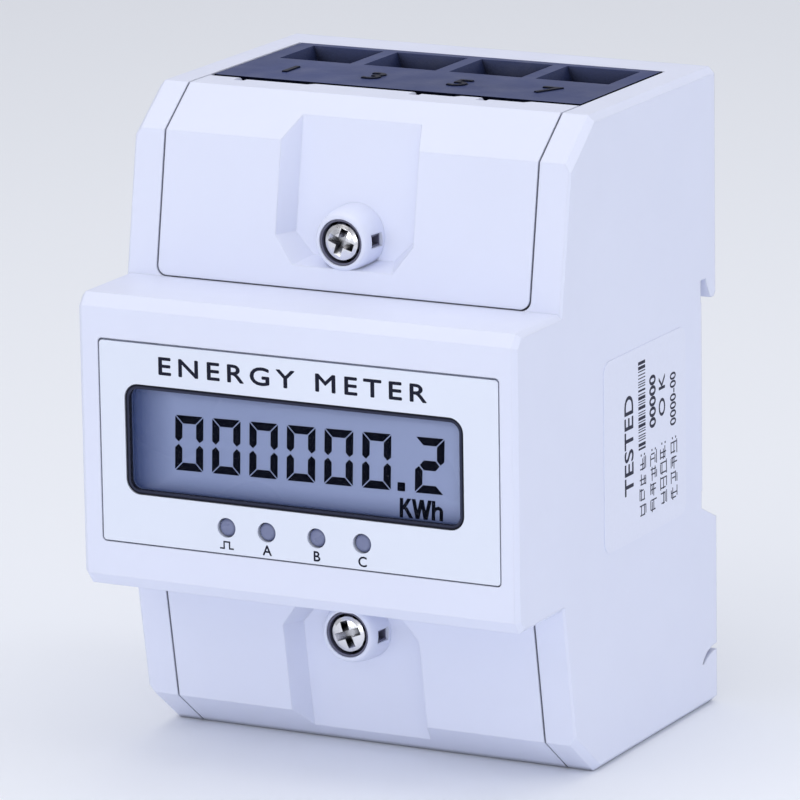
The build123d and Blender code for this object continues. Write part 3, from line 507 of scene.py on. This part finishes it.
def tape_material():
    """Yellow winding tape between lacquered laminations."""
    k = Mat("transformer_tape_core")
    x, y, z = k.xyz()
    core = k.math("MAXIMUM", k.span(z, 14.2 * MM, 14.3 * MM, 0.0, 1.0), k.span(z, 4.2 * MM, 4.3 * MM, 1.0, 0.0))
    lam = k.wave(520.0, "Y", dist=0.2)
    c = k.mix(k.noise(400.0, 4.0), (0.58, 0.42, 0.06), (0.70, 0.52, 0.10))
    c = k.mix(core, c, k.mix(lam, (0.06, 0.06, 0.07), (0.16, 0.16, 0.17)))
    k.set(Base_Color=c, Roughness=0.42, Normal=k.bump(k.math("MULTIPLY", lam, core), 0.4, 0.00005))
    return k.m


M["tape"] = tape_material()


def coat_material():
    k = Mat("varistor_blue_coat")
    c = k.mix(k.noise(700.0, 4.0), (0.010, 0.055, 0.23), (0.025, 0.10, 0.34))
    k.set(Base_Color=c, Roughness=0.26, Normal=k.bump(k.noise(900.0, 3.0), 0.35, 0.00008))
    return k.m


M["coat"] = coat_material()


def wire_material():
    """Red and black sheaths, one of each per pair."""
    k = Mat("wire_sheath")
    x, _, _ = k.xyz()
    sel = None
    for c in (-21.6, -7.2, 7.2):
        hit = k.math("MULTIPLY", k.span(x, (c - 3.5) * MM, (c - 3.4) * MM, 0.0, 1.0),
                     k.span(x, (c - 0.1) * MM, c * MM, 1.0, 0.0))
        sel = hit if sel is None else k.math("MAXIMUM", sel, hit)
    col = k.mix(sel, (0.022, 0.022, 0.026), (0.46, 0.035, 0.025))
    k.set(Base_Color=k.mix(k.span(k.noise(900.0), 0.3, 0.7, 0.0, 0.12), col, (0.25, 0.2, 0.2)), Roughness=0.42,
          Normal=k.bump(k.noise(1800.0), 0.2, 0.00003))
    return k.m


M["wire"] = wire_material()


def zebra_material():
    """Contact strip of alternating conducting and insulating layers."""
    k = Mat("contact_strip_layers")
    w = k.wave(1500.0, "X", dist=0.0)
    c = k.mix(k.span(w, 0.45, 0.55, 0.0, 1.0), (0.030, 0.030, 0.034), (0.50, 0.42, 0.38))
    k.set(Base_Color=c, Roughness=0.7, Normal=k.bump(w, 0.2, 0.00002))
    return k.m


M["zebra"] = zebra_material()


def guide_material():
    k = Mat("light_guide_milky")
    dots = k.voronoi(900.0, rand=0.05)
    c = k.mix(k.span(dots, 0.18, 0.24, 0.0, 1.0), (0.92, 0.94, 0.97), (0.78, 0.83, 0.90))
    k.set(Base_Color=c, Roughness=0.30, Normal=k.bump(dots, 0.2, 0.00003))
    return k.m


M["guide"] = guide_material()

USE = {
    "main_housing": "housing", "rear_base": "base", "upper_terminal_cover": "cover", "lower_terminal_cover": "cover",
    "upper_cover_screw": "nickel", "lower_cover_screw": "nickel", "upper_screw_washer": "washer",
    "lower_screw_washer": "washer", "upper_sealing_cup": "cup", "lower_sealing_cup": "cup", "upper_terminal_block": "block", "lower_terminal_block": "block",
    "screw_inserts": "brass", "phase_busbars": "copper", "neutral_busbar": "copper", "current_transformers": "ct_case",
    "ct_lead_wires": "wire", "main_board": "board", "display_board": "board", "board_header": "black_comp",
    "power_capacitors": "sleeve", "mains_transformer": "tape", "varistors": "coat", "metering_chip": "black_comp",
    "microcontroller": "black_comp", "crystal": "can", "optocoupler": "black_comp", "lcd_glass": "lcd",
    "lcd_backlight": "guide", "lcd_contact_strips": "zebra", "lcd_bezel": "bezel", "indicator_leds": "led",
    "faceplate": "faceplate", "display_window": "window", "din_latch": "latch", "latch_spring": "spring",
    "base_screws": "zinc", "board_screws": "zinc", "side_label": "label",
}
for n in range(1, 9):
    USE[f"terminal_screw_{n}"] = "zinc"
    USE[f"terminal_clamp_{n}"] = "clamp"
for n, obj in nodes.items():
    obj.data.materials.clear()
    obj.data.materials.append(M[USE[n]])

# the return spring: a copy of the spring part with a mesh of its own, carried on the body
coil = bpy.data.objects.new("return_spring", nodes["latch_spring"].data.copy())
coil.matrix_world = nodes["latch_spring"].matrix_world.copy()
bpy.context.scene.collection.objects.link(coil)
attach(coil, "body")
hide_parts("latch_spring")
bpy.context.view_layer.update()
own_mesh(coil)


# ---------------------------------------------------------------------------
# Mesh helpers
# ---------------------------------------------------------------------------
def new_piece(name, bm, mat, body="body", smooth=False):
    me = bpy.data.meshes.new(name)
    bmesh.ops.recalc_face_normals(bm, faces=bm.faces)
    bm.to_mesh(me)
    bm.free()
    for p in me.polygons:
        p.use_smooth = smooth
    o = bpy.data.objects.new(name, me)
    bpy.context.scene.collection.objects.link(o)
    me.materials.append(M[mat])
    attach(o, body)
    return o


def prism(bm, pts, to3, depth):
    """Closed prism from a flat outline. to3(u, v, d) gives the 3-D place."""
    a = [bm.verts.new(to3(u, v, 0.0)) for u, v in pts]
    b = [bm.verts.new(to3(u, v, depth)) for u, v in pts]
    bm.faces.new(a)
    bm.faces.new(list(reversed(b)))
    for i in range(len(pts)):
        j = (i + 1) % len(pts)
        bm.faces.new((a[j], a[i], b[i], b[j]))


def rounded(pts, r, steps=3):
    """Outline with each corner rounded by r."""
    out = []
    n = len(pts)
    for i in range(n):
        p0, p1, p2 = Vector(pts[i - 1]), Vector(pts[i]), Vector(pts[(i + 1) % n])
        a, b = (p0 - p1), (p2 - p1)
        la, lb = a.length, b.length
        a.normalize()
        b.normalize()
        ang = math.acos(max(-1, min(1, a.dot(b))))
        cut = min(r / math.tan(ang / 2) if ang > 1e-3 else 0, la * 0.45, lb * 0.45)
        s, e = p1 + a * cut, p1 + b * cut
        for k in range(steps + 1):
            t = k / steps
            out.append(tuple((s * (1 - t) ** 2 + p1 * 2 * t * (1 - t) + e * t ** 2)))
    return out


FRONT_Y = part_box("faceplate")[0].y


def on_front(y):
    return lambda u, v, d: Vector((u, y - d, v))


# ---------------------------------------------------------------------------
# Display: seven-segment figures with mitred ends
# ---------------------------------------------------------------------------
GLASS_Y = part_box("lcd_glass")[0].y
DIG_W, DIG_H, DIG_T = 4.70 * MM, 8.33 * MM, 1.22 * MM
DIG_Z0 = -3.41 * MM
GAP = 0.12 * MM


def on_glass(u, v, d):
    """The figures lean a little to the right and their row climbs a little, as the cell sits in its frame."""
    return Vector((u + 0.030 * (v - DIG_Z0 - DIG_H), GLASS_Y - d, v + 0.0165 * (u + 20.8 * MM)))


def segments(x, z, w, h, t):
    """Outlines of the seven segments of one figure, a to g."""
    m = z + h / 2
    g = GAP
    k = t * 0.98
    seg = {}
    seg["a"] = [(x + g, z + h), (x + w - g, z + h), (x + w - g - k, z + h - k), (x + g + k, z + h - k)]
    seg["d"] = [(x + g, z), (x + g + k, z + k), (x + w - g - k, z + k), (x + w - g, z)]
    hp = t * 0.60
    seg["g"] = [(x + 0.62 * t, m), (x + 1.15 * t, m + hp), (x + w - 1.15 * t, m + hp),
                (x + w - 0.62 * t, m), (x + w - 1.15 * t, m - hp), (x + 1.15 * t, m - hp)]
    seg["f"] = [(x, z + h - g), (x + k, z + h - g - k), (x + k, m + t * 0.66), (x + t * 0.5, m + g * 1.5), (x, m + t * 0.56)]
    seg["b"] = [(2 * x + w - u, v) for u, v in seg["f"]]
    seg["e"] = [(u, 2 * m - v) for u, v in seg["f"]]
    seg["c"] = [(2 * x + w - u, 2 * m - v) for u, v in seg["f"]]
    return seg


FIGURE = {"0": "abcdef", "2": "abged"}
lefts = [-20.48 + 6.20 * i for i in range(6)]
for i, xl in enumerate(lefts + [19.14]):
    ch = "2" if i == 6 else "0"
    bm = bmesh.new()
    for key in FIGURE[ch]:
        outline = segments(xl * MM, DIG_Z0, DIG_W, DIG_H, DIG_T)[key]
        prism(bm, rounded(outline, 0.05 * MM, 2), on_glass, 0.03 * MM)
    new_piece(f"display_figure_{i + 1}", bm, "segment")
bm = bmesh.new()
prism(bm, rounded([(16.32 * MM, -3.41 * MM), (17.55 * MM, -3.41 * MM), (17.55 * MM, -2.10 * MM), (16.32 * MM, -2.10 * MM)],
                  0.12 * MM), on_glass, 0.03 * MM)
new_piece("display_point", bm, "segment")


def text_piece(name, text, size, place, mat, body="body", depth=0.02 * MM, align="CENTER", width=None,
               space=1.0, xscale=1.0, heavy=0.0):
    """Lettering as a closed mesh. place is a 4x4 matrix; text runs along its x, up its y, and stands out along its z."""
    cu = bpy.data.curves.new(name + "_curve", "FONT")
    cu.body = text
    cu.size = size
    cu.align_x = align
    cu.align_y = "CENTER"
    cu.extrude = depth / 2
    cu.space_character = space
    cu.resolution_u = 4
    tmp = bpy.data.objects.new(name + "_tmp", cu)
    bpy.context.scene.collection.objects.link(tmp)
    bpy.context.view_layer.update()
    dg = bpy.context.evaluated_depsgraph_get()
    me = bpy.data.meshes.new_from_object(tmp.evaluated_get(dg))
    bpy.data.objects.remove(tmp)
    me.name = name
    xs = [v.co.x for v in me.vertices]
    s = xscale
    if width:
        s = width / (max(xs) - min(xs))
    mid = (max(xs) + min(xs)) / 2 if align == "CENTER" else 0
    ys = [v.co.y for v in me.vertices]
    ymid = (max(ys) + min(ys)) / 2
    me.transform(Matrix.Diagonal((s, 1, 1, 1)) @ Matrix.Translation((-mid, -ymid, depth / 2)))
    bm = bmesh.new()
    bm.from_mesh(me)
    bmesh.ops.remove_doubles(bm, verts=bm.verts, dist=1e-7)
    if heavy:
        # heavier strokes: shifted copies, each a little thinner than the last
        first = bm.verts[:] + bm.edges[:] + bm.faces[:]
        for n, (dx, dy) in enumerate(((heavy, 0), (-heavy, 0), (0, heavy), (0, -heavy))):
            made = bmesh.ops.duplicate(bm, geom=first)["geom"]
            verts = [g for g in made if isinstance(g, bmesh.types.BMVert)]
            for v in verts:
                v.co = Vector((v.co.x + dx, v.co.y + dy, v.co.z * (0.95 - 0.05 * n)))
    bm.to_mesh(me)
    bm.free()
    me.transform(place)
    me.materials.clear()
    me.materials.append(M[mat])
    for p in me.polygons:
        p.use_smooth = False
    o = bpy.data.objects.new(name, me)
    bpy.context.scene.collection.objects.link(o)
    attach(o, body)
    return o


def facing_front(x, y, z):
    return Matrix(((1, 0, 0, x), (0, 0, -1, y), (0, 1, 0, z), (0, 0, 0, 1)))


def facing_right(x, y, z):
    """Text that runs upwards on the right side, its top towards the front."""
    return Matrix(((0, 0, 1, x), (0, -1, 0, y), (1, 0, 0, z), (0, 0, 0, 1)))


def facing_up(x, y, z):
    return Matrix(((1, 0, 0, x), (0, 1, 0, y), (0, 0, 1, z), (0, 0, 0, 1)))


def facing_down(x, y, z):
    return Matrix(((-1, 0, 0, x), (0, 1, 0, y), (0, 0, -1, z), (0, 0, 0, 1)))


def stroke(bm, pts, half, to3, depth):
    """Closed band of even width along a polyline, with mitred corners."""
    path = [Vector(p) for p in pts]
    near, far = [], []
    for i, p in enumerate(path):
        d0 = (p - path[i - 1]).normalized() if i else (path[1] - p).normalized()
        d1 = (path[i + 1] - p).normalized() if i < len(path) - 1 else d0
        n0, n1 = Vector((-d0.y, d0.x)), Vector((-d1.y, d1.x))
        nm = n0 + n1
        nm = nm / max(nm.dot(n0), 0.5) if nm.length > 1e-6 else n0
        near.append(p + nm * half)
        far.append(p - nm * half)
    prism(bm, [(p.x * MM, p.y * MM) for p in near + list(reversed(far))], to3, depth)


def leg(bm, x0, z0, x1, z1, half, to3, depth):
    """Slanted stroke whose ends are cut level."""
    prism(bm, [((x0 - half) * MM, z0 * MM), ((x0 + half) * MM, z0 * MM), ((x1 + half) * MM, z1 * MM),
               ((x1 - half) * MM, z1 * MM)], to3, depth)


# unit under the figures, drawn as condensed strokes
bm = bmesh.new()
ZL, ZH = -7.33, -4.42
HW = 0.30
legs = [(17.00, ZL, 17.00, ZH, HW * 0.92), (17.22, -6.10, 18.26, ZH, HW * 1.05), (17.62, -5.75, 18.62, ZL, HW * 1.1),
        (18.95, ZH, 19.62, ZL, HW), (19.62, ZL, 20.28, ZH, HW), (20.28, ZH, 20.94, ZL, HW), (20.94, ZL, 21.60, ZH, HW),
        (22.20, ZL, 22.20, ZH, HW * 0.92), (23.48, ZL, 23.48, -5.75, HW * 0.92)]
for i, (xa, za, xb, zb, half) in enumerate(legs):
    leg(bm, xa, za, xb, zb, half, on_glass, (0.030 + 0.001 * i) * MM)
stroke(bm, [(22.25, -6.05), (22.50, -5.62), (22.98, -5.45), (23.34, -5.62), (23.50, -5.95)], 0.25, on_glass, 0.040 * MM)
new_piece("display_unit", bm, "segment")
text_piece("faceplate_title", "ENERGY METER", 3.75 * MM, facing_front(-0.4 * MM, FRONT_Y, 12.35 * MM), "ink",
           width=44.0 * MM, space=1.35, heavy=0.075 * MM)
for label, x in (("A", -4.98), ("B", 3.26), ("C", 10.75)):
    text_piece(f"lamp_caption_{label}", label, 2.15 * MM, facing_front((x + 0.05) * MM, FRONT_Y, -13.70 * MM), "ink",
               heavy=0.04 * MM)

# pulse symbol under the first lamp: one square wave
bm = bmesh.new()
stroke(bm, [(-11.65 + u, -13.62 + v) for u, v in ((-1.15, -0.5), (-0.45, -0.5), (-0.45, 0.5), (0.45, 0.5),
                                                  (0.45, -0.5), (1.15, -0.5))], 0.11, on_front(FRONT_Y), 0.02 * MM)
new_piece("lamp_caption_pulse", bm, "ink")

# ---------------------------------------------------------------------------
# Side label: bar pattern and lines of short strokes
# ---------------------------------------------------------------------------
LABEL_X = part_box("side_label")[1].x
LLO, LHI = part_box("side_label")


def on_side(x):
    return lambda u, v, d: Vector((x + d, u, v))


rng = random.Random(7)
bm = bmesh.new()
z = -3.7
while z < 9.3:
    wdt = rng.choice((0.16, 0.16, 0.30, 0.50))
    prism(bm, [(-22.5 * MM, z * MM), (-20.1 * MM, z * MM), (-20.1 * MM, (z + wdt) * MM), (-22.5 * MM, (z + wdt) * MM)],
          on_side(LABEL_X), 0.015 * MM)
    z += wdt + rng.choice((0.22, 0.22, 0.36))
new_piece("label_bars", bm, "label_ink")


def stroke_line(name, y, z0, z1, cell, gap, seed, size=1.0, skip=()):
    """A line of small abstract marks that reads as print from a distance."""
    r = random.Random(seed)
    bm = bmesh.new()
    z = z0
    i = 0
    while z + cell <= z1:
        if i not in skip:
            h = cell * size
            rows = sorted(r.sample([0.06, 0.28, 0.5, 0.72, 0.94], 3))
            for f in rows:
                a, b = sorted((r.uniform(0.0, 0.25), r.uniform(0.7, 1.0)))
                u = y + (0.5 - f) * -h
                prism(bm, [((u - 0.11) * MM, (z + a * h) * MM), ((u + 0.11) * MM, (z + a * h) * MM),
                           ((u + 0.11) * MM, (z + b * h) * MM), ((u - 0.11) * MM, (z + b * h) * MM)],
                      on_side(LABEL_X), 0.015 * MM)
            for f in r.sample([0.18, 0.5, 0.82], 2):
                a, b = sorted((r.uniform(0.0, 0.2), r.uniform(0.6, 1.0)))
                v = z + f * h
                prism(bm, [((y - h / 2 + a * h) * MM, (v - 0.10) * MM), ((y - h / 2 + b * h) * MM, (v - 0.10) * MM),
                           ((y - h / 2 + b * h) * MM, (v + 0.10) * MM), ((y - h / 2 + a * h) * MM, (v + 0.10) * MM)],
                      on_side(LABEL_X + 0.001 * MM), 0.015 * MM)
        z += cell + gap
        i += 1
    # two dots that close the line
    for u in (y - 0.45 * size, y + 0.55 * size):
        prism(bm, [((u - 0.16) * MM, (z + 0.05) * MM), ((u + 0.16) * MM, (z + 0.05) * MM),
                   ((u + 0.16) * MM, (z + 0.37) * MM), ((u - 0.16) * MM, (z + 0.37) * MM)],
              on_side(LABEL_X), 0.015 * MM)
    return new_piece(name, bm, "label_ink")


text_piece("label_heading", "TESTED", 4.2 * MM, facing_right(LABEL_X, -25.8 * MM, -2.15 * MM), "label_ink",
           width=15.0 * MM, heavy=0.06 * MM)
text_piece("label_number", "00000", 2.9 * MM, facing_right(LABEL_X, -17.6 * MM, 2.8 * MM), "label_ink",
           width=7.9 * MM, heavy=0.09 * MM)
stroke_line("label_line_1", -21.15, -14.2, -4.9, 2.05, 0.30, 3, 1.12)
stroke_line("label_line_2", -17.40, -14.2, -4.9, 2.05, 0.30, 4, 1.15)
stroke_line("label_line_3", -13.95, -14.0, -4.7, 2.05, 0.30, 5, 1.15)
stroke_line("label_line_4", -10.25, -14.0, -4.6, 2.05, 0.30, 6, 1.12)
text_piece("label_mark", "O K", 3.0 * MM, facing_right(LABEL_X, -14.35 * MM, 3.0 * MM), "label_ink",
           width=6.2 * MM, heavy=0.05 * MM)
text_piece("label_date", "0000-00", 2.8 * MM, facing_right(LABEL_X, -10.5 * MM, 1.65 * MM), "label_ink",
           width=8.1 * MM, heavy=0.04 * MM)

# ---------------------------------------------------------------------------
# Terminal numbers, raised on the blocks
# ---------------------------------------------------------------------------
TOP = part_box("upper_terminal_block")[1].z
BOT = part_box("lower_terminal_block")[0].z
# figures coloured near black, darker than the block: painted shade standing for the shadow along their raised edges
M["number"] = moulded("number_relief", (0.008, 0.010, 0.026), rough=0.40, grain=2400.0, strength=0.25, vary=0.1,
                      spec=0.12)
for i, x in enumerate((-21.5, -7.3, 7.0, 21.4)):
    text_piece(f"terminal_number_{2 * i + 1}", str(2 * i + 1), 6.3 * MM, facing_up(x * MM, -21.9 * MM, TOP), "number",
               depth=0.20 * MM, xscale=1.10, heavy=0.07 * MM)
    text_piece(f"terminal_number_{2 * i + 2}", str(2 * i + 2), 6.3 * MM, facing_down(x * MM, -21.9 * MM, BOT), "number",
               depth=0.20 * MM, xscale=1.10, heavy=0.07 * MM)

# ---------------------------------------------------------------------------
# Floor, light and camera
# ---------------------------------------------------------------------------
FLOOR_Z = size0[0].z - 0.00005


def floor():
    bm = bmesh.new()
    n, s = 24, 4.0
    grid = [[bm.verts.new(((i / n - 0.5) * 2 * s, (j / n - 0.5) * 2 * s, FLOOR_Z)) for j in range(n + 1)]
            for i in range(n + 1)]
    for i in range(n):
        for j in range(n):
            bm.faces.new((grid[i][j], grid[i + 1][j], grid[i + 1][j + 1], grid[i][j + 1]))
    me = bpy.data.meshes.new("floor")
    bm.to_mesh(me)
    bm.free()
    k = Mat("floor_matt")
    c = k.mix(k.noise(3.0, 3.0), (0.855, 0.875, 0.925), (0.880, 0.900, 0.950))
    k.set(Base_Color=c, Roughness=0.75)
    k.b.inputs["Specular IOR Level"].default_value = 0.2
    me.materials.append(k.m)
    o = bpy.data.objects.new("floor", me)
    bpy.context.scene.collection.objects.link(o)


floor()


def area(name, loc, target, size, power, colour):
    d = bpy.data.lights.new(name, "AREA")
    d.shape = "RECTANGLE"
    d.size, d.size_y = size
    d.energy = power
    d.color = colour
    o = bpy.data.objects.new(name, d)
    o.location = loc
    o.rotation_mode = "QUATERNION"
    o.rotation_quaternion = (Vector(target) - Vector(loc)).to_track_quat("-Z", "Y")
    bpy.context.scene.collection.objects.link(o)
    return o


area("key_softbox", (-0.35, -0.75, 0.75), (0, -0.02, 0), (0.7, 0.7), 1.62, (1.0, 0.99, 0.99))
area("front_fill", (0.50, -0.95, 0.22), (0, -0.03, 0), (0.8, 0.8), 1.12, (0.96, 0.98, 1.0))
area("low_fill", (0.05, -1.05, 0.035), (0, -0.04, -0.02), (1.1, 0.16), 1.60, (0.96, 0.98, 1.0))
area("side_fill", (1.0, 0.15, 0.45), (0, -0.03, 0), (0.7, 0.7), 2.05, (0.94, 0.96, 1.0))
area("top_soft", (0.0, 0.0, 1.0), (0, -0.02, 0), (0.9, 0.9), 3.25, (0.99, 0.99, 1.0))

world = bpy.data.worlds.new("studio")
bpy.context.scene.world = world
world.use_nodes = True
wt = world.node_tree
bg = wt.nodes["Background"]
tc = wt.nodes.new("ShaderNodeTexCoord")
sep = wt.nodes.new("ShaderNodeSeparateXYZ")
ramp = wt.nodes.new("ShaderNodeValToRGB")
wt.links.new(tc.outputs["Generated"], sep.inputs[0])
wt.links.new(sep.outputs[2], ramp.inputs[0])
ramp.color_ramp.elements[0].position = 0.0
ramp.color_ramp.elements[0].color = (0.70, 0.73, 0.80, 1)
ramp.color_ramp.elements[1].position = 0.6
ramp.color_ramp.elements[1].color = (0.96, 0.97, 1.0, 1)
# mirror-like parts see a studio with darker flags, so that bright metal shows its form
flags = wt.nodes.new("ShaderNodeValToRGB")
flags.color_ramp.elements[0].position = 0.0
flags.color_ramp.elements[0].color = (0.80, 0.82, 0.88, 1)
flags.color_ramp.elements[1].position = 0.62
flags.color_ramp.elements[1].color = (1.0, 1.0, 1.0, 1)
for at, v in ((0.34, 0.95), (0.40, 0.06), (0.54, 0.06)):
    e = flags.color_ramp.elements.new(at)
    e.color = (v, v, v * 1.06, 1)
wt.links.new(sep.outputs[2], flags.inputs[0])
path = wt.nodes.new("ShaderNodeLightPath")
pick = wt.nodes.new("ShaderNodeMix")
pick.data_type = "RGBA"
wt.links.new(path.outputs["Is Glossy Ray"], pick.inputs[0])
wt.links.new(ramp.outputs[0], pick.inputs[6])
wt.links.new(flags.outputs[0], pick.inputs[7])
wt.links.new(pick.outputs[2], bg.inputs[0])
bg.inputs[1].default_value = 0.62

cam = bpy.data.cameras.new("camera")
cam.sensor_width = 36.0
cam.lens = 6719.7 / 800.0 * 36.0
cam.clip_start, cam.clip_end = 0.05, 20.0
co = bpy.data.objects.new("camera", cam)
bpy.context.scene.collection.objects.link(co)
right = Vector((0.88790693, 0.45977513, -0.01510376))
down = Vector((0.09419877, -0.21385525, -0.97231298))
fwd = Vector((-0.45027534, 0.86190067, -0.23319381))
rot = Matrix((right, -down, -fwd)).transposed().to_4x4()
co.matrix_world = Matrix.Translation((0.45208, -0.89478, 0.23622)) @ rot
bpy.context.scene.camera = co
bpy.context.scene.view_settings.view_transform = "Standard"
bpy.context.scene.view_settings.look = "None"
